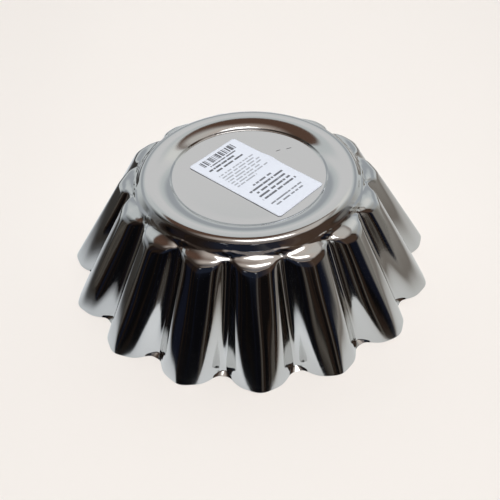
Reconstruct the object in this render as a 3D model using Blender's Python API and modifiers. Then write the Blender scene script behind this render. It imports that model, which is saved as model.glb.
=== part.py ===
"""A fluted baking mould of thin bright tinplate, standing mouth down, with a paper label on its base.

The mould is one drawn sheet: a sunk flat disc, a rounded foot ring round it, and a flared wall that
is pressed into flutes and trimmed flat at the mouth. The origin is the centre of the mouth, on the
plane that the cut rim rests on, +Z points to the closed base, and one crest lies on the -Y side.
"""
import math

import bmesh
import bpy
import numpy as np

# Lengths are metres and angles are degrees. Radii and heights are those of the outside skin.
HEIGHT = 0.0700
SHEET = 0.0004

# The mouth and its flutes.
FLUTES = 15
MOUTH_RADIUS = 0.1125
FLUTE_DEPTH = 0.0116
VALLEY_FLARE = 0.0015
VALLEY_FLARE_HEIGHT = 0.0045
SECOND_WAVE = -0.255
THIRD_WAVE = 0.109

# The base: a sunk disc, its steep side, and the broad round that rises to the foot ring's flat top.
DISC_RADIUS = 0.0458
RECESS_DEPTH = 0.0037
RECESS_TILT = 55.0
DISC_FILLET = 0.0004
RING_INNER_TILT = 27.0
RING_INNER_ROUND = 0.0238
RING_FLAT = 0.0033

# The shoulder along a crest: round, hollow, sloping ledge, then the brow over the straight face.
SHOULDER_ROUND = 0.0062
CREST_SHOULDER_TILT = 56.0
CREST_STEP = 0.0017
CREST_HOLLOW_ROUND = 0.0070
CREST_LEDGE_TILT = 15.0
CREST_LEDGE = 0.0036
CREST_BROW_ROUND = 0.0110

# The shoulder along a valley: the same round, a lip that drops into a small pocket, then a short knuckle.
VALLEY_SHOULDER_TILT = 48.0
VALLEY_STEP = 0.0010
VALLEY_HOLLOW_ROUND = 0.0030
LIP_TILT = 26.0
LIP_RUN = 0.0014
LIP_ROUND = 0.0015
POCKET_TILT = 64.0
POCKET_DROP = 0.0030
POCKET_ROUND = 0.0012
VALLEY_LEDGE_TILT = 30.0
VALLEY_LEDGE = 0.0006
VALLEY_BROW_ROUND = 0.0015

# The label, turned on the disc and a little off its centre.
LABEL_WIDTH = 0.0400
LABEL_MARGIN = 0.0042
LABEL_THICKNESS = 0.0002
LABEL_CORNER = 0.0020
LABEL_CLEARANCE = 0.0003
LABEL_OFFSET = 0.0039
LABEL_BEARING = -20.0
LABEL_TURN = -44.5

# How finely the round forms are cut into facets.
BASE_COLUMNS_PER_FLUTE = 5
WALL_COLUMNS_PER_FLUTE = 10
RING_STEPS = 3
SHOULDER_STEPS = 3
HOLLOW_STEPS = 5
BROW_STEPS = 3
FILLET_STEPS = 1
CORNER_STEPS = 6
SMOOTH_ANGLE = 32.0

# Spare sheet below the rim plane, and the block that trims it off.
TRIM_ALLOWANCE = 0.0030
TRIM_BLOCK_MARGIN = 0.0200


def heading(tilt):
    """Unit step in (radius, height) that falls at this tilt below the horizontal."""
    return np.array([math.cos(math.radians(tilt)), -math.sin(math.radians(tilt))])


def outward(tilt):
    """Unit normal, pointing out of the skin, of a stretch with this tilt."""
    return np.array([math.sin(math.radians(tilt)), math.cos(math.radians(tilt))])


def follow(start, tilt, moves):
    """Points after start along the moves: turns to a new tilt on a round, and straight runs."""
    points = [start]
    for kind, value, *more in moves:
        if kind == "run":
            points.append(points[-1] + value * heading(tilt))
            continue
        radius, steps = more
        side = math.copysign(radius, value - tilt)
        centre = points[-1] - side * outward(tilt)
        points += [centre + side * outward(turned) for turned in np.linspace(tilt, value, steps + 1)[1:]]
        tilt = value
    return points[1:]


def tilt_to_touch(centre, radius, point):
    """Tilt at which a line to the point leaves a round of this centre and radius."""
    away = point - centre
    reach = math.hypot(away[0], away[1])
    return math.degrees(math.atan2(away[0], away[1]) - math.acos(radius / reach))


def base_profile():
    """Outside of the base from the disc's edge to the outer edge of the foot ring's flat top."""
    steep = math.cos(math.radians(RECESS_TILT))
    broad = math.cos(math.radians(RING_INNER_TILT))
    rise = RECESS_DEPTH - DISC_FILLET * (1 - steep) - RING_INNER_ROUND * (1 - broad)
    edge = np.array([DISC_RADIUS, HEIGHT - RECESS_DEPTH])
    points = [edge] + follow(edge, 0.0, [("turn", -RECESS_TILT, DISC_FILLET, FILLET_STEPS),
                                         ("run", rise / math.sin(math.radians(RECESS_TILT)))])
    return points + follow(points[-1], -RING_INNER_TILT, [("turn", 0.0, RING_INNER_ROUND, RING_STEPS),
                                                          ("run", RING_FLAT)])


def crest_moves():
    """The crest's way from the foot ring to the end of its ledge."""
    return [("turn", CREST_SHOULDER_TILT, SHOULDER_ROUND, SHOULDER_STEPS),
            ("run", CREST_STEP),
            ("turn", CREST_LEDGE_TILT, CREST_HOLLOW_ROUND, HOLLOW_STEPS),
            ("run", CREST_LEDGE)]


def valley_moves():
    """The valley's way: its lip and pocket take as many steps as the crest's hollow."""
    return [("turn", VALLEY_SHOULDER_TILT, SHOULDER_ROUND, SHOULDER_STEPS),
            ("run", VALLEY_STEP),
            ("turn", LIP_TILT, VALLEY_HOLLOW_ROUND, 1),
            ("run", LIP_RUN),
            ("turn", POCKET_TILT, LIP_ROUND, 1),
            ("run", POCKET_DROP),
            ("turn", VALLEY_LEDGE_TILT, POCKET_ROUND, HOLLOW_STEPS - 4),
            ("run", VALLEY_LEDGE)]


def wall_profile(start, moves, ledge_tilt, brow_round, foot_radius, flare):
    """Outside of the wall from the foot ring down past the rim plane, along a crest or a valley."""
    points = follow(start, 0.0, moves)
    foot = np.array([foot_radius - flare, 0.0])
    face_tilt = tilt_to_touch(points[-1] - brow_round * outward(ledge_tilt), brow_round, foot)
    points += follow(points[-1], ledge_tilt, [("turn", face_tilt, brow_round, BROW_STEPS)])
    spread = math.tan(math.radians(90.0 - face_tilt))
    for height in (VALLEY_FLARE_HEIGHT, -TRIM_ALLOWANCE):
        bend = flare * (1 - height / VALLEY_FLARE_HEIGHT)
        points.append(np.array([foot[0] - height * spread + bend, height]))
    return points


def crest_share(turn):
    """How far a column lies from a valley's floor, 0, to a crest, 1, turn being its phase in the flute."""
    wave = np.cos(turn) + SECOND_WAVE * np.cos(2 * turn) + THIRD_WAVE * np.cos(3 * turn)
    top = 1 + SECOND_WAVE + THIRD_WAVE
    bottom = -1 + SECOND_WAVE - THIRD_WAVE
    return (wave - bottom) / (top - bottom)


def ring_of(mesh, angles, radii, heights):
    """New vertices of the mesh, one for each angle, at these radii and heights."""
    places = zip(np.sin(angles) * radii, -np.cos(angles) * radii, heights)
    return [mesh.verts.new(place) for place in places]


def join_rings(mesh, upper, lower):
    """Faces from one closed ring down to the next, whose count is a whole multiple of the first's."""
    share = len(lower) // len(upper)
    for index, corner in enumerate(upper):
        following = upper[(index + 1) % len(upper)]
        fan = [lower[(index * share + step) % len(lower)] for step in range(share + 1)]
        mesh.faces.new([following, corner] + fan)


def shell_skin():
    """Open outer skin of the mould, from the middle of the disc to below the rim plane."""
    mesh = bmesh.new()
    count = FLUTES * BASE_COLUMNS_PER_FLUTE
    angles = np.linspace(0, 2 * math.pi, count, endpoint=False)
    base = base_profile()
    rings = [ring_of(mesh, angles, np.full(count, radius), np.full(count, height))
             for radius, height in base[:-1]]
    mesh.faces.new(rings[0])

    count = FLUTES * WALL_COLUMNS_PER_FLUTE
    angles = np.linspace(0, 2 * math.pi, count, endpoint=False)
    share = crest_share(FLUTES * angles)
    edge = base[-1]
    crest = wall_profile(edge, crest_moves(), CREST_LEDGE_TILT, CREST_BROW_ROUND, MOUTH_RADIUS, 0.0)
    valley = wall_profile(edge, valley_moves(), VALLEY_LEDGE_TILT, VALLEY_BROW_ROUND,
                          MOUTH_RADIUS - FLUTE_DEPTH, VALLEY_FLARE)
    for high, low in zip([edge] + crest, [edge] + valley):
        place = low[:, None] + (high - low)[:, None] * share
        rings.append(ring_of(mesh, angles, place[0], place[1]))
    for upper, lower in zip(rings, rings[1:]):
        join_rings(mesh, upper, lower)
    bmesh.ops.recalc_face_normals(mesh, faces=mesh.faces)
    return mesh


def metal(name, colour, roughness):
    """Bare metal of this colour."""
    material = bpy.data.materials.new(name)
    material.use_nodes = True
    shader = material.node_tree.nodes["Principled BSDF"]
    shader.inputs["Base Color"].default_value = (*colour, 1.0)
    shader.inputs["Roughness"].default_value = roughness
    shader.inputs["Metallic"].default_value = 1.0
    return material


def paper(name, colour, roughness):
    """Matt paper of this colour."""
    material = metal(name, colour, roughness)
    material.node_tree.nodes["Principled BSDF"].inputs["Metallic"].default_value = 0.0
    return material


def build_shell(parts, cutters):
    """The drawn sheet: the skin thickened inwards, then trimmed flat on the rim plane."""
    mesh = bpy.data.meshes.new("fluted_shell")
    skin = shell_skin()
    skin.to_mesh(mesh)
    skin.free()
    shell = bpy.data.objects.new("fluted_shell", mesh)
    parts.objects.link(shell)
    mesh.materials.append(metal("bright_tinplate", (0.80, 0.80, 0.81), 0.12))
    mesh.shade_smooth()
    mesh.set_sharp_from_angle(angle=math.radians(SMOOTH_ANGLE))

    wall = shell.modifiers.new("wall", "SOLIDIFY")
    wall.thickness = SHEET
    wall.offset = -1.0
    wall.use_even_offset = True

    depth = TRIM_ALLOWANCE + TRIM_BLOCK_MARGIN
    block_mesh = bpy.data.meshes.new("rim_trim")
    block = bmesh.new()
    bmesh.ops.create_cube(block, size=1.0)
    width = 2 * (MOUTH_RADIUS + TRIM_BLOCK_MARGIN)
    bmesh.ops.scale(block, vec=(width, width, depth), verts=block.verts)
    bmesh.ops.translate(block, vec=(0.0, 0.0, -depth / 2), verts=block.verts)
    block.to_mesh(block_mesh)
    block.free()
    cutter = bpy.data.objects.new("rim_trim", block_mesh)
    cutters.objects.link(cutter)
    cutter.hide_render = True
    cutter.display_type = "WIRE"

    trim = shell.modifiers.new("trim", "BOOLEAN")
    trim.operation = "DIFFERENCE"
    trim.solver = "EXACT"
    trim.object = cutter
    return shell


def build_label(parts):
    """The paper label: a flat rounded oblong that lies on the disc, as long as the margin leaves it."""
    half_width = LABEL_WIDTH / 2
    half_length = math.sqrt((DISC_RADIUS - LABEL_MARGIN) ** 2 - half_width ** 2)
    curve = bpy.data.curves.new("paper_label", "CURVE")
    curve.dimensions = "2D"
    curve.fill_mode = "BOTH"
    curve.extrude = LABEL_THICKNESS / 2
    outline = curve.splines.new("POLY")
    outline.use_cyclic_u = True
    points = []
    for corner, (side_x, side_y) in enumerate(((1, 1), (-1, 1), (-1, -1), (1, -1))):
        for step in range(CORNER_STEPS + 1):
            turn = math.radians(90.0 * (corner + step / CORNER_STEPS))
            points.append((side_x * (half_length - LABEL_CORNER) + LABEL_CORNER * math.cos(turn),
                           side_y * (half_width - LABEL_CORNER) + LABEL_CORNER * math.sin(turn)))
    outline.points.add(len(points) - 1)
    for point, (x, y) in zip(outline.points, points):
        point.co = (x, y, 0.0, 1.0)
    label = bpy.data.objects.new("paper_label", curve)
    parts.objects.link(label)
    curve.materials.append(paper("label_paper", (0.87, 0.89, 0.92), 0.55))
    floor = HEIGHT - RECESS_DEPTH
    bearing = math.radians(LABEL_BEARING)
    label.location = (LABEL_OFFSET * math.cos(bearing), LABEL_OFFSET * math.sin(bearing),
                      floor + LABEL_CLEARANCE + LABEL_THICKNESS / 2)
    label.rotation_euler = (0.0, 0.0, math.radians(LABEL_TURN))
    return label


def build():
    """Clear the scene and make the mould."""
    for item in list(bpy.data.objects):
        bpy.data.objects.remove(item, do_unlink=True)
    parts = bpy.data.collections.new("fluted_mould")
    cutters = bpy.data.collections.new("cutters")
    bpy.context.scene.collection.children.link(parts)
    bpy.context.scene.collection.children.link(cutters)
    build_shell(parts, cutters)
    build_label(parts)


build()
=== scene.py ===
# %% [markdown]
# # A fluted tin baking mould, standing mouth down
#
# The real object is one sheet of bright tinplate that a press has drawn into a shallow flared cup, with
# a sunk disc in its base, a foot ring round the disc, and fifteen flutes down its wall. A paper label is
# stuck on the disc. The solid model of both pieces is loaded first, as a fixed frame: every surface made
# here takes its place from it and keeps to its box within a fraction of a millimetre.

# %% Load the solid model and keep its box
import math

import bpy
import numpy as np
from mathutils import Matrix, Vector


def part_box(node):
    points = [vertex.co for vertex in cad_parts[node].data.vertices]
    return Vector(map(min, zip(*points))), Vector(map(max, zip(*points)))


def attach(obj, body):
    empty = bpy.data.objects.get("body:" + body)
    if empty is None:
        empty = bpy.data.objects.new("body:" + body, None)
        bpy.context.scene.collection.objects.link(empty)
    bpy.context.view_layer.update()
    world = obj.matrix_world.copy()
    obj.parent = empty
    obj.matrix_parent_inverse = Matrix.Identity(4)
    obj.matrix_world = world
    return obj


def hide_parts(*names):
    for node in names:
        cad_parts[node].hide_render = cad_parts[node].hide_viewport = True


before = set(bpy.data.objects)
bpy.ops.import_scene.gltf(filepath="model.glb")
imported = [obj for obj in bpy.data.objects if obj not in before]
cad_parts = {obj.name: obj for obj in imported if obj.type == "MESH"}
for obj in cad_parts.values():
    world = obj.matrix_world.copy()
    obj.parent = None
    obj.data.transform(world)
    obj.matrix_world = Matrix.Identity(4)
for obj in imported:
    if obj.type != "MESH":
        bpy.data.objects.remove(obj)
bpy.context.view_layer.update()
_, shell_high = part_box("fluted_shell")
label_low, label_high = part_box("paper_label")
HEIGHT = shell_high.z

# %% [markdown]
# ## Colours and node trees
#
# Colours are written as the hex values that a paint program shows. Blender mixes light in linear
# numbers, so one function turns hex into linear. Another adds a node with its settings and links, which
# keeps each material short enough to read in one go. Three more name what the materials do again and
# again: a soft step, a soft band and one colour laid over another.

# %% Helpers for colours and nodes
def linear(hex_colour):
    """Linear red, green and blue of an sRGB hex colour: ((c + 0.055) / 1.055) ** 2.4 above the toe."""
    srgb = np.array([int(hex_colour[at:at + 2], 16) for at in (1, 3, 5)]) / 255
    return tuple(np.where(srgb <= 0.04045, srgb / 12.92, ((srgb + 0.055) / 1.055) ** 2.4)) + (1.0,)


def add(tree, kind, *values, **named):
    """Add a node, set it up, link it and return it. Values in a row fill its inputs in their order.

    A name that starts small, such as operation, is one of the node's own settings. Any other is an input:
    Base_Color stands for "Base Color", and _6 for input number 6, where several inputs share a name.
    """
    node = tree.nodes.new("ShaderNode" + kind)
    inputs = dict(enumerate(values))
    for name, value in named.items():
        if name[0].islower():
            setattr(node, name, value)
        else:
            inputs[int(name[1:]) if name[0] == "_" else name.replace("_", " ")] = value
    for key, value in inputs.items():
        if isinstance(value, bpy.types.NodeSocket):
            tree.links.new(value, node.inputs[key])
        else:
            node.inputs[key].default_value = value
    return node


def rise(tree, value, none_at, full_at, top=1.0):
    """Soft step: 0 from none_at outwards, top from full_at outwards, and an S-curve between the two."""
    return add(tree, "MapRange", interpolation_type="SMOOTHSTEP", Value=value, From_Min=none_at,
               From_Max=full_at, To_Max=top).outputs["Result"]


def between(tree, value, low, high, soft, top=1.0):
    """Soft band: top between low and high and 0 outside, as a step up times a step down, each soft wide."""
    step_up = rise(tree, value, low - soft / 2, low + soft / 2, top)
    return rise(tree, value, high + soft / 2, high - soft / 2, step_up)


def laid_over(tree, share, under, top):
    """One colour over another: under * (1 - share) + top * share."""
    # A Mix node takes its two colours at inputs 6 and 7 and gives their mix at output 2.
    return add(tree, "Mix", data_type="RGBA", _0=share, _6=under, _7=top).outputs[2]


def blank_material(name):
    """A material whose node tree is empty, and that tree."""
    material = bpy.data.materials.new(name)
    material.use_nodes = True
    material.node_tree.nodes.clear()
    return material, material.node_tree


print("mid grey in linear numbers:", [round(float(value), 3) for value in linear("#808080")])

# %% [markdown]
# ## The camera
#
# The photograph was taken from close by, from above and in front, with the lens a little off the
# centre of the picture. The distance sets how strongly the far side shrinks, so it is matched first,
# and the focal length then sets the size. The camera is aimed with its own axes, because its small
# turns and roll are easier to set as three angles than as a point to look at.

# %% Place the camera
CAMERA_DISTANCE = 0.6365
CAMERA_ELEVATION = 42.34
CAMERA_AZIMUTH = -1.34
LOOK_RIGHT = 3.508
LOOK_UP = 3.727
CAMERA_ROLL = -2.269
FOCAL_PIXELS = 983.7
PICTURE_PIXELS = 500
SHIFT_PIXELS = np.array([-60, -60])
SENSOR_MM = 36.0
NEAREST_SEEN = 0.01


def unit(vector):
    """The vector divided by its length."""
    return vector / np.linalg.norm(vector)


def camera_axes():
    """Place, right, up and forward axes: aim at the mouth's centre, turn by the look angles, then roll."""
    elevation = math.radians(CAMERA_ELEVATION)
    azimuth = math.radians(CAMERA_AZIMUTH)
    level = np.array([math.sin(azimuth), -math.cos(azimuth), 0.0])
    place = CAMERA_DISTANCE * (math.cos(elevation) * level + math.sin(elevation) * np.array([0, 0, 1.0]))
    ahead = unit(-place)
    right = unit(np.cross(ahead, [0, 0, 1.0]))
    up = np.cross(right, ahead)
    ahead = unit(ahead + math.tan(math.radians(LOOK_RIGHT)) * right + math.tan(math.radians(LOOK_UP)) * up)
    right = unit(np.cross(ahead, up))
    up = np.cross(right, ahead)
    cos, sin = math.cos(math.radians(CAMERA_ROLL)), math.sin(math.radians(CAMERA_ROLL))
    return place, cos * right + sin * up, cos * up - sin * right, ahead


place, right, up, ahead = camera_axes()
lens = bpy.data.cameras.new("camera")
lens.sensor_width = SENSOR_MM
lens.lens = FOCAL_PIXELS / PICTURE_PIXELS * SENSOR_MM
lens.shift_x, lens.shift_y = SHIFT_PIXELS / PICTURE_PIXELS
lens.clip_start = NEAREST_SEEN
camera = bpy.data.objects.new("camera", lens)
bpy.context.scene.collection.objects.link(camera)
turned = np.eye(4)
turned[:3] = np.stack([right, up, -ahead, place], axis=-1)
camera.matrix_world = Matrix(turned.tolist())
bpy.context.scene.camera = camera
print("camera at", place.round(3), "with a lens of", round(lens.lens, 1), "mm")

# %% [markdown]
# ## An outline as a list of moves
#
# Sheet that was pressed over round-edged tools has a section of arcs and straight runs that flow into
# each other. It could be drawn as a curve with handles, but then its radii would be hidden in them. Here
# an outline is a list of moves instead, as a draughtsman would note them: turn to this tilt on this
# radius, go on for this length. So its form can be read and changed move by move.

# %% Follow a list of moves
def heading(tilt):
    """Unit step outwards that falls at this tilt: (cos tilt, -sin tilt) in radius and height."""
    return np.array([math.cos(math.radians(tilt)), -math.sin(math.radians(tilt))])


def normal(tilt):
    """Unit normal out of the sheet at this tilt: (sin tilt, cos tilt) in radius and height."""
    return np.array([math.sin(math.radians(tilt)), math.cos(math.radians(tilt))])


def follow(start, tilt, moves):
    """Points along the moves, and the tilt at their end.

    ("turn", tilt at its end, radius, points) is an arc, centre + radius * normal(tilt) with a growing tilt.
    ("go", length, points) is a straight run, start + length * heading(tilt).
    """
    points = [np.array([start])]
    for move in moves:
        here = points[-1][-1]
        if move[0] == "go":
            _, length, count = move
            points.append(here + np.linspace(0, length, count + 1)[1:, None] * heading(tilt))
            continue
        _, end_tilt, radius, count = move
        side = math.copysign(radius, end_tilt - tilt)
        tilts = np.radians(np.linspace(tilt, end_tilt, count + 1)[1:])
        centre = here - side * normal(tilt)
        points.append(centre + side * np.stack([np.sin(tilts), np.cos(tilts)], axis=-1))
        tilt = end_tilt
    return np.concatenate(points), tilt


quarter, _ = follow((0.0, 0.0), 0.0, [("turn", 90.0, 0.010, 6)])
print("a quarter turn on a radius of 10 mm ends at", (quarter[-1] * 1000).round(1), "mm")

# %% [markdown]
# ## The base: sunk disc and foot ring
#
# The base is round, so one outline is enough for all of it. From the disc a short slope climbs to a lip,
# and from the lip a wide, shallow arc runs up to the flat top of the foot ring. The slope's length isn't
# set by hand: it is what is left of the recess's depth after the three arcs.

# %% Outline of the base
DISC_RADIUS = 0.0458
CENTRE_GAP = 0.0008
RECESS_DEPTH = 0.0037
RECESS_TILT = 40.0
DISC_FILLET = 0.0016
LIP_ROUND = 0.0004
LIP_TILT = 27.0
RING_INNER_ROUND = 0.0238
RING_EDGE = 0.0609
RING_POINTS = 3
DISC_HEIGHT = HEIGHT - RECESS_DEPTH


def base_outline():
    """Radius and height from near the disc's centre to the outer edge of the foot ring.

    An arc climbs by radius * (difference of the cosines of its tilts), and the slope by length * sin(tilt).
    """
    climb = (1 - math.cos(math.radians(RECESS_TILT))) * DISC_FILLET
    climb += (math.cos(math.radians(LIP_TILT)) - math.cos(math.radians(RECESS_TILT))) * LIP_ROUND
    climb += (1 - math.cos(math.radians(LIP_TILT))) * RING_INNER_ROUND
    slope = (RECESS_DEPTH - climb) / math.sin(math.radians(RECESS_TILT))
    moves = [("go", DISC_RADIUS - CENTRE_GAP, 7), ("turn", -RECESS_TILT, DISC_FILLET, 5), ("go", slope, 3),
             ("turn", -LIP_TILT, LIP_ROUND, 4), ("turn", 0.0, RING_INNER_ROUND, 12)]
    points, _ = follow((CENTRE_GAP, DISC_HEIGHT), 0.0, moves)
    flat = np.linspace(points[-1][0], RING_EDGE, RING_POINTS + 1)[1:]
    return np.concatenate([points, np.stack([flat, np.full(RING_POINTS, HEIGHT)], axis=-1)])


base = base_outline()
ring_start = base[-RING_POINTS - 1][0]
print("foot ring flat from", round(ring_start * 1000, 1), "to", round(base[-1][0] * 1000, 1), "mm of radius")

# %% [markdown]
# ## The wall: a crest and a valley
#
# The wall is fluted, so it needs two outlines, one along a crest and one along a valley. Both start from
# the same round shoulder. The crest then flattens little by little into a ledge and turns down into its
# face. The valley falls in two short steps instead, which form the small pocket at its head. The straight
# face isn't a move, because it has to end at the rim: its tilt is worked out so that it touches the last
# arc, the brow, and meets the rim's circle. Both outlines have the same number of points, since the
# grid joins them row by row.

# %% Outlines along a crest and along a valley
SHOULDER_ROUND = 0.0062
MOUTH_RADIUS = 0.1125
FLUTE_DEPTH = 0.0116
VALLEY_FLARE = 0.0031
FLARE_HEIGHT = 0.0013
ABOVE_FLARE = 0.0002
VALLEY_BULGE = 0.0015
BULGE_SCALE = 27 / 4
CREST_BROW = 0.0110
VALLEY_BROW = 0.0015
BROW_POINTS = 14
FACE_POINTS = 17
FLARE_POINTS = 6
CREST_MOVES = [
    ("turn", 56.0, SHOULDER_ROUND, 12), ("go", 0.0017, 3), ("turn", 26.0, 0.0070, 11),
    ("turn", 17.0, 0.0240, 7), ("go", 0.0010, 2),
]
VALLEY_MOVES = [
    ("turn", 48.0, SHOULDER_ROUND, 12), ("go", 0.0028, 4), ("turn", 26.0, 0.0014, 3), ("go", 0.0004, 1),
    ("turn", 64.0, 0.0012, 3), ("go", 0.0026, 2), ("turn", 30.0, 0.0012, 4), ("go", 0.0006, 6),
]


def wall_outline(start, moves, brow, foot_radius, bulge):
    """Radius and height from the foot ring to the rim: the moves, then a brow that meets a straight face.

    The face bulges low down, as drawn sheet does, by bulge * 27/4 * s * (1 - s)^2. Here s is the height's
    share of the face, and 27/4 makes the greatest bulge, at a third of the face, equal to bulge.
    """
    points, tilt = follow(start, 0.0, moves)
    foot = np.array([foot_radius, 0.0])
    away = foot - (points[-1] - brow * normal(tilt))
    face_tilt = math.degrees(math.atan2(away[0], away[1]) - math.acos(brow / math.hypot(away[0], away[1])))
    rounded, _ = follow(points[-1], tilt, [("turn", face_tilt, brow, BROW_POINTS)])
    top = rounded[-1][1]
    heights = np.concatenate([np.linspace(top, FLARE_HEIGHT + ABOVE_FLARE, FACE_POINTS)[1:],
                              np.linspace(FLARE_HEIGHT, 0, FLARE_POINTS)])
    share = heights / top
    face = np.stack([foot[0] - heights * math.tan(math.radians(90 - face_tilt))
                     + bulge * BULGE_SCALE * share * (1 - share) ** 2, heights], axis=-1)
    print("face tilt", round(face_tilt, 1), "degrees from a height of", round(top * 1000, 1), "mm")
    return np.concatenate([points[1:], rounded[1:], face])


valley_foot = MOUTH_RADIUS - FLUTE_DEPTH - VALLEY_FLARE
crest_wall = wall_outline(base[-1], CREST_MOVES, CREST_BROW, MOUTH_RADIUS, 0.0)
valley_wall = wall_outline(base[-1], VALLEY_MOVES, VALLEY_BROW, valley_foot, VALLEY_BULGE)
crest_line = np.concatenate([base, crest_wall])
valley_line = np.concatenate([base, valley_wall])
print("outlines of", len(crest_line), "and", len(valley_line), "points")

# %% [markdown]
# ## The fluted wall as a grid
#
# The outside of the sheet is a grid: one row for each point of the outlines and one column for each
# angle round the axis. A column's share of the crest is a wave round the axis, whose second and third
# parts make the crests broad and the valleys narrow. Bright metal shows every small change of slope, so
# three small traces of the press are added: the cut edge flares in the valleys, the wall is a little
# uneven, and fine ripples stand at each valley's head, where the sheet was squeezed together.

# %% The outer skin
FLUTES = 15
COLUMNS_PER_FLUTE = 30
SECOND_WAVE = -0.255
THIRD_WAVE = 0.109
FLARE_POWER = 5
UNEVEN = [
    # waves per turn, radians per metre of height, depth, start
    (19.0, 60.0, 0.00009, 0.3), (31.0, -95.0, 0.00006, 1.9),
    (47.0, 120.0, 0.00004, 4.1), (7.0, 30.0, 0.00012, 2.2),
]
EVEN_FROM_TOP = 0.004
UNEVEN_FADE = 0.012
RIPPLE_DEPTH = 0.00035
RIPPLE_HEIGHT = 0.0625
RIPPLE_REACH = 0.0030
RIPPLES_PER_TURN = 82
RIPPLE_SLANT = 2300
RIPPLE_DRIFT = 3
DRIFTS_PER_TURN = 11


def crest_share(turn):
    """Share of the crest, 0 to 1: cos(turn) plus its second and third waves, scaled to that range."""
    wave = np.cos(turn) + SECOND_WAVE * np.cos(2 * turn) + THIRD_WAVE * np.cos(3 * turn)
    top = 1 + SECOND_WAVE + THIRD_WAVE
    bottom = -1 + SECOND_WAVE - THIRD_WAVE
    return (wave - bottom) / (top - bottom)


def outer_skin():
    """Grid of points: valley + share * (crest - valley), turned to each column's angle from -Y.

    The flare is its depth * (1 - height / flare height) * (1 - share)^5, and 0 above its height.
    The unevenness is a sum of sines of the angle and the height. The ripples are one sine of both, whose
    start drifts round the axis, in a patch exp(-((height - middle) / reach)^2) * (1 - share)^2.
    """
    angle = np.linspace(0, 2 * math.pi, FLUTES * COLUMNS_PER_FLUTE, endpoint=False)
    share = crest_share(FLUTES * angle)
    mix = valley_line[:, None] + (crest_line - valley_line)[:, None] * share[:, None]
    radius, height = mix[..., 0], mix[..., 1]
    radius = radius + VALLEY_FLARE * np.clip(1 - height / FLARE_HEIGHT, 0, None) * (1 - share) ** FLARE_POWER
    wall = np.clip((HEIGHT - EVEN_FROM_TOP - height) / UNEVEN_FADE, 0, 1)
    for times, per_metre, depth, start in UNEVEN:
        radius = radius + depth * wall * np.sin(times * angle + per_metre * height + start)
    patch = np.exp(-((height - RIPPLE_HEIGHT) / RIPPLE_REACH) ** 2) * (1 - share) ** 2
    drift = RIPPLE_DRIFT * np.sin(DRIFTS_PER_TURN * angle)
    radius = radius + RIPPLE_DEPTH * patch * np.sin(RIPPLES_PER_TURN * angle + RIPPLE_SLANT * height + drift)
    return np.stack([radius * np.sin(angle), -radius * np.cos(angle), height], axis=-1)


outer = outer_skin()
print("outer skin:", outer.shape[0], "rows of", outer.shape[1], "columns")

# %% [markdown]
# ## The sheet's thickness
#
# Tinplate for such moulds is about 0.4 mm thick. A Solidify modifier could give that thickness, but it
# would tilt the cut rim with the wall. So the inside is the same grid moved inwards by the gauge, with
# its last row run on to the table, and the two skins are joined into one closed surface. That keeps the
# cut exactly on the table, as the trimming tool leaves it.

# %% Both skins joined into one closed sheet
SHEET = 0.0004
SHARP_ANGLE = 50.0


def grid_normals(points):
    """Unit normals of a grid that closes round its columns: the cross product of its two differences."""
    along = np.gradient(points, axis=0)
    across = np.roll(points, -1, axis=1) - np.roll(points, 1, axis=1)
    cross = np.cross(across, along)
    cross /= np.linalg.norm(cross, axis=-1, keepdims=True)
    return cross * np.sign(cross[0, 0, 2])


def inner_skin():
    """The outer grid moved by -gauge * normal, with its last row run on to height 0 and nothing below."""
    inner = outer - SHEET * grid_normals(outer)
    run = inner[-1] - inner[-2]
    inner[-1] -= run * (inner[-1, :, 2:] / run[:, 2:])
    inner[..., 2] = np.maximum(inner[..., 2], 0)
    return inner


def ring_quads(rows, columns):
    """Corner numbers of the quads of a grid that closes round its columns, row by row."""
    row, column = np.meshgrid(np.arange(rows - 1), np.arange(columns), indexing="ij")
    following = (column + 1) % columns
    corners = np.stack([row * columns + column, (row + 1) * columns + column,
                        (row + 1) * columns + following, row * columns + following], axis=-1)
    return corners.reshape(-1, 4)


def closed_sheet(inner):
    """Points, quads and fans: the outer rows down to the rim, the inner rows back, a fan at either end."""
    rows, columns = outer.shape[:2]
    count = 2 * rows * columns
    skins = np.concatenate([outer, inner[::-1]]).reshape(-1, 3)
    centres = np.array([[0, 0, outer[0, 0, 2]], [0, 0, inner[0, 0, 2]]])
    ring = np.arange(columns)
    following = (ring + 1) % columns
    last = count - columns
    fans = [np.stack([np.full(columns, count), ring, following], axis=-1),
            np.stack([np.full(columns, count + 1), last + following, last + ring], axis=-1)]
    return np.concatenate([skins, centres]), ring_quads(2 * rows, columns), np.concatenate(fans)


def mesh_piece(name, points, quads, triangles=None):
    """A piece from arrays of points, four-cornered faces and three-cornered faces."""
    mesh = bpy.data.meshes.new(name)
    faces = quads.tolist() + ([] if triangles is None else triangles.tolist())
    mesh.from_pydata(points.reshape(-1, 3).tolist(), [], faces)
    mesh.validate()
    mesh.shade_smooth()
    piece = bpy.data.objects.new(name, mesh)
    bpy.context.scene.collection.objects.link(piece)
    return piece


shell = mesh_piece("shell_surface", *closed_sheet(inner_skin()))
shell.data.set_sharp_from_angle(angle=math.radians(SHARP_ANGLE))
print("shell of", len(shell.data.vertices), "points and", len(shell.data.polygons), "faces")

# %% [markdown]
# ## Bright tinplate
#
# Tinplate is thin steel with a few thousandths of a millimetre of tin on it. The tin is reflowed until it
# shines, so it mirrors the room with only a little blur, and pressing leaves faint scuffs. A metal needs
# no more than its colour, a low roughness that varies a little, and a bump that is far finer than the
# flutes. The real scuffs are too fine to show, so they are drawn about a millimetre wide. Two short dull
# scratches on the disc are darker tin: a soft band along each, times a soft band across it.

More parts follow.
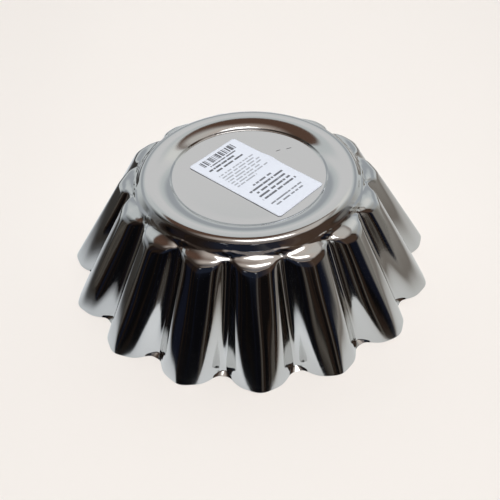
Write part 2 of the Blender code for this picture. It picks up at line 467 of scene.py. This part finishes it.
# %% Tinplate
TIN = "#dcdcda"
TIN_ROUGHNESS = (0.05, 0.11)
SCUFFS_PER_METRE = 900.0
SCUFF_DETAIL = 3.0
SCUFF_STRENGTH = 0.04
SCUFF_DEPTH = 0.0001
SCRATCH_GREY = "#4a4a4c"
SCRATCH_COVER = 0.8
SCRATCH_FLOOR = (0.0003, 0.0001)
SCRATCHES = [
    # x and y on the disc, half length, half width, turn in degrees
    (0.0190, 0.0234, 0.0014, 0.00035, 24.0), (0.0258, 0.0252, 0.0016, 0.00035, 20.0),
]


def scratch(tree, place, x, y, half_length, half_width, turn, top):
    """Top inside a short soft-edged mark that is moved to its place and turned, 0 outside."""
    own = add(tree, "Mapping", vector_type="TEXTURE", Vector=place, Location=(x, y, 0.0),
              Rotation=(0.0, 0.0, math.radians(turn))).outputs["Vector"]
    along, across, _ = add(tree, "SeparateXYZ", Vector=own).outputs
    band = between(tree, along, -half_length, half_length, half_length, top)
    return between(tree, across, -half_width, half_width, half_width, band)


def tinplate():
    """Reflowed tin on steel: a slightly soft mirror, whose roughness and bump follow fine scuffs."""
    material, tree = blank_material("reflowed_tinplate")
    place = add(tree, "TexCoord").outputs["Object"]
    scuffs = add(tree, "TexNoise", Vector=place, Scale=SCUFFS_PER_METRE, Detail=SCUFF_DETAIL).outputs["Fac"]
    rough = add(tree, "MapRange", Value=scuffs, To_Min=TIN_ROUGHNESS[0], To_Max=TIN_ROUGHNESS[1])
    bump = add(tree, "Bump", Height=scuffs, Strength=SCUFF_STRENGTH, Distance=SCUFF_DEPTH)
    # The marks end just under the disc's outer face, so that they don't show on the inside.
    height = add(tree, "SeparateXYZ", Vector=place).outputs["Z"]
    none_at, full_at = (DISC_HEIGHT - below for below in SCRATCH_FLOOR)
    outside = rise(tree, height, none_at, full_at, SCRATCH_COVER)
    colour = linear(TIN)
    for mark in SCRATCHES:
        colour = laid_over(tree, scratch(tree, place, *mark, outside), colour, linear(SCRATCH_GREY))
    shader = add(tree, "BsdfPrincipled", Base_Color=colour, Metallic=1.0, Roughness=rough.outputs["Result"],
                 Normal=bump.outputs["Normal"])
    add(tree, "OutputMaterial", Surface=shader.outputs["BSDF"])
    return material


shell.data.materials.append(tinplate())
print("tinplate on", shell.name, "with", len(SCRATCHES), "scratches")

# %% [markdown]
# ## The paper label
#
# A self-adhesive label is a thin flat sheet with slightly rounded corners. A single face with a
# thickness would do for a flat one. It is a grid here, so that it can lift a little along one edge and
# form a small bubble at the other, where the glue has let go.

# %% The label's sheet
LABEL_WIDTH = 0.0400
LABEL_LENGTH = 0.0730
LABEL_CORNER = 0.0015
LABEL_PAPER = 0.00012
GLUE = 0.00005
LABEL_TURN = -44.5
LABEL_STEPS = (72, 40)
EDGE_LIFT = 0.0002
EDGE_REACH = 0.3
# mean, swing, radians along the label, start
EDGE_WAVE = (0.75, 0.25, 9.0, 1.0)
BUBBLE_LIFT = 0.0009
BUBBLE_MIDDLE = 0.43
BUBBLE_REACH = 0.07
BUBBLE_START = 0.72


def label_sheet():
    """Grid over the label: each row is narrowed near the ends by its corner arcs."""
    along = np.linspace(-0.5, 0.5, LABEL_STEPS[0] + 1) * LABEL_LENGTH
    across = np.linspace(-0.5, 0.5, LABEL_STEPS[1] + 1)
    near_end = np.clip(np.abs(along) - (LABEL_LENGTH / 2 - LABEL_CORNER), 0, LABEL_CORNER)
    width = LABEL_WIDTH - 2 * (LABEL_CORNER - np.sqrt(LABEL_CORNER ** 2 - near_end ** 2))
    x = np.repeat(along[:, None], len(across), axis=1)
    y = width[:, None] * across
    return np.stack([x, y], axis=-1)


def lift(along, across):
    """How far the paper stands up, from its shares of the length and the width, 0 to 1.

    The edge lifts as (1 - across / reach)^2 times a slow wave. The bubble is a bell along the label,
    exp(-((along - middle) / reach)^2), that grows as a square towards the other edge.
    """
    mean, swing, radians, start = EDGE_WAVE
    wave = mean + swing * np.sin(radians * along + start)
    edge = EDGE_LIFT * np.clip(1 - across / EDGE_REACH, 0, 1) ** 2 * wave
    bell = np.exp(-((along - BUBBLE_MIDDLE) / BUBBLE_REACH) ** 2)
    return edge + BUBBLE_LIFT * bell * np.clip((across - BUBBLE_START) / (1 - BUBBLE_START), 0, 1) ** 2


def turned_on_disc(flat, height):
    """The flat grid turned about its middle and set over the solid label's centre at these heights."""
    centre = (label_low + label_high) / 2
    cos, sin = math.cos(math.radians(LABEL_TURN)), math.sin(math.radians(LABEL_TURN))
    x = centre.x + flat[..., 0] * cos - flat[..., 1] * sin
    y = centre.y + flat[..., 0] * sin + flat[..., 1] * cos
    return np.stack([x, y, height], axis=-1)


def sheet_quads(rows, columns):
    """Corner numbers of the quads of an open grid with this many steps each way."""
    row, column = np.meshgrid(np.arange(rows), np.arange(columns), indexing="ij")
    wide = columns + 1
    corner = row * wide + column
    return np.stack([corner, corner + wide, corner + wide + 1, corner + 1], axis=-1).reshape(-1, 4)


flat = label_sheet()
shares = flat / np.array([LABEL_LENGTH, LABEL_WIDTH]) + 0.5
height = DISC_HEIGHT + GLUE + LABEL_PAPER + lift(shares[..., 0], shares[..., 1])
label = mesh_piece("label_sheet", turned_on_disc(flat, height), sheet_quads(*LABEL_STEPS))
uv = label.data.uv_layers.new(name="print")
loops = np.zeros(len(label.data.loops), np.int32)
label.data.loops.foreach_get("vertex_index", loops)
uv.data.foreach_set("uv", shares.reshape(-1, 2)[loops].astype(np.float32).ravel())
paper = label.modifiers.new("paper", "SOLIDIFY")
paper.thickness = LABEL_PAPER
paper.offset = -1.0
print("label sheet of", len(label.data.polygons), "quads")

# %% [markdown]
# ## The print on the label
#
# Labels like this are printed in one dark ink: a block of upright bars at one end, then lines of small
# type that run across the narrow way. Here the type is only plain dashes, because a reusable part
# carries no words. A picture could be laid on the sheet, but a pattern of nodes needs no file. Each line
# is one entry in millimetres on the label, and smooth noise along the line breaks it into dashes of
# uneven length, as words would.

# %% Printed label paper
INK = "#2c2d33"
PAPER = "#e2e7f0"
PAPER_ROUGHNESS = 0.5
# low, high and soft edge in millimetres
BARS_ALONG = (2.6, 8.2, 0.2)
BARS_ACROSS = (6.0, 34.0, 0.1)
BARS_PER_MM = 1.0
BARS_CUT = (0.47, 0.53)
DASHES_PER_MM = 0.42
DASHES_CUT = (0.36, 0.44)
LINE_SOFT = 0.3
END_SOFT = 0.4
PRINT_DETAIL = 1.0
SEED_STEP = 71.0
BARS_SEED = 5.0
FIRST_LINE_SEED = 10.0
PRINT_LINES = [
    # place along the label, line width, first and last end across it, how dark
    (9.9, 1.1, 9.0, 31.0, 0.85), (12.8, 1.5, 5.0, 27.0, 0.9), (16.0, 1.4, 8.0, 31.0, 0.9),
    (20.8, 1.1, 5.0, 35.0, 0.5), (23.3, 1.1, 5.0, 33.0, 0.5), (25.8, 1.1, 5.0, 35.5, 0.5),
    (28.3, 1.1, 5.0, 34.0, 0.5), (30.8, 1.1, 5.0, 30.0, 0.5), (33.3, 1.1, 5.0, 35.0, 0.5),
    (35.8, 1.1, 5.0, 22.0, 0.5), (41.8, 1.4, 12.0, 28.0, 0.8), (45.2, 1.5, 5.5, 34.5, 0.85),
    (48.6, 1.5, 8.0, 33.0, 0.85), (52.0, 1.5, 6.5, 33.5, 0.85), (55.4, 1.5, 5.5, 35.0, 0.85),
    (61.4, 1.2, 6.0, 33.0, 0.7), (64.3, 1.2, 7.5, 31.0, 0.7),
]


def gaps(tree, across, seed, per_mm, cut, top):
    """Top or 0 along a line in millimetres: smooth noise from a place of its own, cut between two levels."""
    place = add(tree, "Math", across, seed * SEED_STEP, operation="ADD").outputs[0]
    noise = add(tree, "TexNoise", noise_dimensions="1D", W=place, Scale=per_mm, Detail=PRINT_DETAIL)
    return rise(tree, noise.outputs["Fac"], *cut, top)


def label_paper():
    """Coated white paper: smooth but matt, so that the dark ink's bars and broken lines stay crisp."""
    material, tree = blank_material("coated_label_paper")
    shares = add(tree, "UVMap", uv_map="print").outputs["UV"]
    scale = (LABEL_LENGTH * 1000, LABEL_WIDTH * 1000, 1.0)
    millimetres = add(tree, "Mapping", Vector=shares, Scale=scale).outputs["Vector"]
    along, across, _ = add(tree, "SeparateXYZ", Vector=millimetres).outputs
    block = between(tree, across, *BARS_ACROSS, between(tree, along, *BARS_ALONG))
    stripes = gaps(tree, across, BARS_SEED, BARS_PER_MM, BARS_CUT, block)
    colour = laid_over(tree, stripes, linear(PAPER), linear(INK))
    for number, (spot, wide, first, last, dark) in enumerate(PRINT_LINES):
        line = between(tree, along, spot - wide / 2, spot + wide / 2, LINE_SOFT, dark)
        line = between(tree, across, first, last, END_SOFT, line)
        dashes = gaps(tree, across, number + FIRST_LINE_SEED, DASHES_PER_MM, DASHES_CUT, line)
        colour = laid_over(tree, dashes, colour, linear(INK))
    shader = add(tree, "BsdfPrincipled", Base_Color=colour, Roughness=PAPER_ROUGHNESS)
    add(tree, "OutputMaterial", Surface=shader.outputs["BSDF"])
    return material


label.data.materials.append(label_paper())
print("label with", len(PRINT_LINES), "lines of print")

# %% [markdown]
# ## The table and the sheet that the tin mirrors
#
# Bright tin shows almost nothing of its own: what the eye reads as its colour is the room. So the room is
# built with the same care as the mould. First comes a plain pale table. The metal doesn't mirror that
# endless board but a smaller sheet in the same place, as on a real set, where the board ends a hand's
# breadth or two from the mould and the dark room begins. The sheet carries painted shade and light: it
# runs from dark at the left over nearly white to a brownish grey at the right, so that the reflections in
# the flutes are shaded from side to side.

# %% Table and mirrored sheet
TABLE_SIZE = 6.0
TABLE_DROP = 0.00010
TABLE_PAINT = [(0.0, "#f4efe9")]
MIRRORED_DROP = 0.00005
MIRRORED_CORNERS = [
    (-0.170, -0.34), (0.45, -0.34), (0.45, 1.20), (-0.34, 1.20), (-0.34, 0.06), (-0.170, -0.07),
]
# Painted shade and light on the mirrored sheet: dark towards its left edge, nearly white, then brownish grey
# at the right.
MIRRORED_PAINTED_SHADING = [
    # place from left to right in metres, colour
    (-0.20, "#2e2b27"), (-0.165, "#505152"), (-0.145, "#86898c"), (-0.115, "#ced3d7"), (-0.05, "#eaeef1"),
    (0.10, "#d3d5d4"), (0.15, "#bab9b6"), (0.22, "#77716a"), (0.40, "#8d8983"),
]
PAINT_REACH = 0.50
BOARD_ROUGHNESS = 0.8


def ramp(tree, share, stops):
    """Colour that runs through the stops, each a place from 0 to 1 and a colour."""
    node = add(tree, "ValToRGB", Fac=share)
    elements = node.color_ramp.elements
    elements[0].position, elements[0].color = stops[0][0], linear(stops[0][1])
    elements.remove(elements[1])
    for at, shade in stops[1:]:
        elements.new(at).color = linear(shade)
    return node.outputs["Color"]


def board(name, corners, drop, paint):
    """A flat matt board with these corners, this drop under the rim; its paint changes from left to right."""
    mesh = bpy.data.meshes.new(name)
    mesh.from_pydata([(x, y, 0) for x, y in corners], [], [tuple(range(len(corners)))])
    piece = bpy.data.objects.new(name, mesh)
    piece.location.z = -drop
    bpy.context.scene.collection.objects.link(piece)
    material, tree = blank_material(name + "_paint")
    place = add(tree, "TexCoord").outputs["Object"]
    x = add(tree, "SeparateXYZ", Vector=place).outputs["X"]
    across = add(tree, "MapRange", Value=x, From_Min=-PAINT_REACH, From_Max=PAINT_REACH).outputs["Result"]
    colour = ramp(tree, across, [((at / PAINT_REACH + 1) / 2, shade) for at, shade in paint])
    shader = add(tree, "BsdfPrincipled", Base_Color=colour, Roughness=BOARD_ROUGHNESS)
    add(tree, "OutputMaterial", Surface=shader.outputs["BSDF"])
    mesh.materials.append(material)
    return piece


half = TABLE_SIZE / 2
table = board("table", [(-half, -half), (half, -half), (half, half), (-half, half)], TABLE_DROP, TABLE_PAINT)
table.visible_glossy = False
mirrored = board("mirrored_sheet", MIRRORED_CORNERS, MIRRORED_DROP, MIRRORED_PAINTED_SHADING)
mirrored.visible_camera = mirrored.visible_diffuse = mirrored.visible_shadow = False
print("table of", TABLE_SIZE, "m and a mirrored sheet with", len(MIRRORED_PAINTED_SHADING), "stops of paint")

# %% [markdown]
# ## The soft lamp
#
# The table and the label are matt, so they take their brightness from all the light that falls on them,
# while the tin takes its look from what it mirrors. One broad, high lamp lights the matt things evenly.
# It is left out of reflections, so that the two can be set apart from each other.

# %% Soft lamp over the table
FILL_PLACE = (0.08, 0.0, 2.4)
FILL_SIZE = 1.4
FILL_WATTS = 45.3
FILL_COLOUR = "#fcfdff"


def fill_light():
    """A broad square lamp above the table that lights matt things but isn't mirrored."""
    lamp = bpy.data.lights.new("soft_fill", "AREA")
    lamp.shape = "SQUARE"
    lamp.size = FILL_SIZE
    lamp.energy = FILL_WATTS
    lamp.color = linear(FILL_COLOUR)[:3]
    light = bpy.data.objects.new("soft_fill", lamp)
    light.location = FILL_PLACE
    light.visible_glossy = False
    bpy.context.scene.collection.objects.link(light)


fill_light()
print("soft lamp of", FILL_WATTS, "W,", FILL_PLACE[2], "m up")

# %% [markdown]
# ## The room's dark side
#
# The mould mirrors a whole room, and its flutes stretch what they mirror into streaks. Upright bars, as of
# shelves and window frames, fill the room's dark side: on the flutes they become the long dark and light
# streaks that run from the shoulder to the rim. They are smooth noise round the room, read through a row
# of colours, which is quicker than building shelves and gives bars of uneven width.

# %% Bars round the room
BARS_PER_TURN = 13.0
BARS_DETAIL = 2.0
BARS = [
    # level of the noise, colour
    (0.0, "#050506"), (0.40, "#0b0b0e"), (0.45, "#161925"), (0.48, "#0a0a0c"), (0.53, "#0b0a0a"),
    (0.57, "#30251e"), (0.61, "#121010"), (0.66, "#5d5852"), (0.70, "#0c0c0d"),
]


def bars(tree, azimuth):
    """Upright bars: smooth noise of the azimuth in degrees, read through a row of colours."""
    per_degree = BARS_PER_TURN / 360
    noise = add(tree, "TexNoise", noise_dimensions="1D", W=azimuth, Scale=per_degree, Detail=BARS_DETAIL)
    return ramp(tree, noise.outputs["Fac"], BARS)


print("bars of", len(BARS), "shades,", BARS_PER_TURN, "to a turn")

# %% [markdown]
# ## The room that the tin mirrors
#
# The world is painted by direction, as a photographer would plan it: a pale backdrop behind the mould, a
# brown ceiling over it, an oval lamp near the zenith, and a dark room with a bluish window on the
# camera's side. Each is one patch, with a width in azimuth, a span in elevation and soft edges, laid over
# the patches before it. A picture of a real room would do too, but patches can be moved one by one.
# The lamp is an oval on a plane above the mould, and a softer, wider glow lies round it.

# %% The room, patch by patch
DARK_ROOM = "#0d0c0b"
# lowest, highest and soft edge in degrees of elevation
BARS_SPAN = (-16.0, 50.0, 10.0)
PATCHES = [
    # azimuth, half width, soft edge, lowest, highest, soft edge, colour, cover
    (0.0, 46.0, 26.0, 16.0, 53.0, 8.0, "#272d3c", 0.6),
    (-66.0, 26.0, 22.0, 18.0, 54.0, 14.0, "#2b211b", 0.6),
    (66.0, 34.0, 24.0, 14.0, 56.0, 12.0, "#574539", 0.7),
    (90.0, 15.0, 12.0, -20.0, 11.0, 10.0, "#8f8b85", 0.75),
    (12.0, 92.0, 50.0, 56.0, 90.0, 6.0, "#7e797a", 1.0),
    (-95.0, 60.0, 40.0, 46.0, 80.0, 12.0, "#3c332e", 1.0),
    (8.0, 44.0, 24.0, 52.0, 55.0, 1.5, "#c0b0a2", 0.8),
    (2.0, 3.5, 4.0, 43.5, 47.0, 3.0, "#dcdce4", 0.9),
    (-32.0, 3.0, 3.0, 42.0, 45.0, 2.5, "#c8c8cc", 0.8),
    (128.0, 26.0, 8.0, -90.0, 50.0, 5.0, "#a3a19c", 1.0),
    (180.0, 62.0, 30.0, -90.0, 51.0, 3.0, "#cbd0d2", 1.0),
    (148.0, 18.0, 26.0, 36.0, 52.0, 8.0, "#eeedea", 0.8),
    (180.0, 74.0, 40.0, 9.0, 26.0, 9.0, "#a9aeb4", 1.0),
    (180.0, 34.0, 30.0, 33.0, 41.0, 6.0, "#dedee0", 1.0),
    (180.0, 66.0, 44.0, 49.0, 78.0, 4.0, "#5d473c", 1.0),
    (114.0, 40.0, 30.0, 52.0, 80.0, 10.0, "#cfccc8", 0.9),
]
LAMP_PLACE = (0.12, -0.02)
LAMP_REACH = (0.25, 0.125)
LAMP_EDGE = (1.15, 0.85)
LAMP_STRENGTH = 3.2
GLOW_EDGE = (3.4, 0.9)
GLOW = "#c9bdb5"
LOWEST_UP = 0.01


def angles(tree, way):
    """Azimuth (0 towards the camera, + to the right) and elevation in degrees: atan2(x, -y), arcsin(z)."""
    x, y, z = add(tree, "SeparateXYZ", Vector=way).outputs
    towards = add(tree, "Math", y, -1.0, operation="MULTIPLY").outputs[0]
    around = add(tree, "Math", x, towards, operation="ARCTAN2").outputs[0]
    upwards = add(tree, "Math", z, operation="ARCSINE").outputs[0]
    return [add(tree, "Math", angle, operation="DEGREES").outputs[0] for angle in (around, upwards)]


def from_lamp(tree, way):
    """Distance from the lamp's middle in its own half sizes, on a plane one unit above the mould.

    A direction meets that plane at (x, y, z) / z, with z kept above 0.01. The Mapping node takes the lamp's
    place off and divides by its reach, and what is left has the length sqrt(x^2 + y^2).
    """
    z = add(tree, "SeparateXYZ", Vector=way).outputs["Z"]
    up = add(tree, "Math", z, LOWEST_UP, operation="MAXIMUM").outputs[0]
    met = add(tree, "VectorMath", way, up, operation="DIVIDE").outputs["Vector"]
    own = add(tree, "Mapping", vector_type="TEXTURE", Vector=met, Location=LAMP_PLACE + (1.0,),
              Scale=LAMP_REACH + (1.0,)).outputs["Vector"]
    return add(tree, "VectorMath", own, operation="LENGTH").outputs["Value"]


def room():
    """World painted by direction: bars on the dark side, then the patches, the lamp's glow and the lamp."""
    world = bpy.data.worlds.new("room")
    bpy.context.scene.world = world
    world.use_nodes = True
    tree = world.node_tree
    tree.nodes.clear()
    way = add(tree, "TexCoord").outputs["Generated"]
    azimuth, elevation = angles(tree, way)
    colour = laid_over(tree, between(tree, elevation, *BARS_SPAN), linear(DARK_ROOM), bars(tree, azimuth))
    for middle, half_width, soft, low, high, soft_up, shade, cover in PATCHES:
        near = add(tree, "Math", azimuth, middle + 180, middle - 180, operation="WRAP").outputs[0]
        share = between(tree, near, middle - half_width, middle + half_width, soft, cover)
        colour = laid_over(tree, between(tree, elevation, low, high, soft_up, share), colour, linear(shade))
    away = from_lamp(tree, way)
    colour = laid_over(tree, rise(tree, away, *GLOW_EDGE), colour, linear(GLOW))
    colour = laid_over(tree, rise(tree, away, *LAMP_EDGE), colour, (LAMP_STRENGTH,) * 3 + (1.0,))
    back = add(tree, "Background", Color=colour)
    add(tree, "OutputWorld", Surface=back.outputs["Background"])


room()
bpy.context.scene.view_settings.view_transform = "Standard"
print("room of", len(PATCHES), "patches and a lamp")

# %% [markdown]
# ## Hand the pieces to the frame
#
# Each new surface rides on the one rigid body and stands for its node of the solid model, which is hidden.

# %% Tie the pieces to the solid model
for piece, node, slot in ((shell, "fluted_shell", "tinplate"), (label, "paper_label", "label_paper")):
    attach(piece, "root")
    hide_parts(node)
